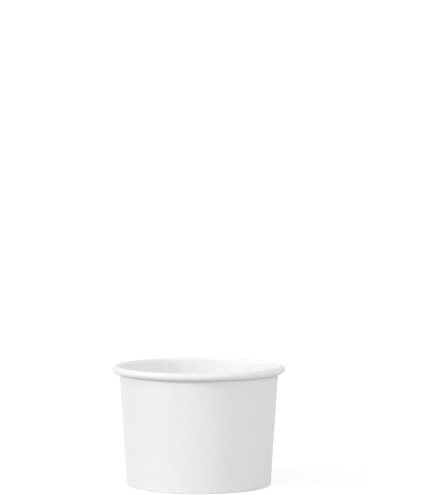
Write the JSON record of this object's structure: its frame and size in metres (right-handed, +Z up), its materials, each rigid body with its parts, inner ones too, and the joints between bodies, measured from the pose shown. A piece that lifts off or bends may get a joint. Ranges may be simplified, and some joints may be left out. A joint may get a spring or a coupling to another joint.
{
  "type": "paper sundae cup",
  "caption": "Short, wide, tapered cup of white coated paper board with a rolled rim, a lapped side seam and a recessed bottom in a folded hem.",
  "frame": {"origin": "centre of the foot ring, at the table", "axes": "+Z up along the cup's centre line; -Y is the side that faces the camera, and the seam is 40 degrees from +X towards +Y"},
  "size_m": [0.095, 0.095, 0.0653],
  "materials": {
    "wall_board": "satin",
    "disc_board": "satin"
  },
  "bodies": {
    "root": {"side_wall": "wall_board", "bottom_disc": "disc_board"}
  },
  "joints": []
}
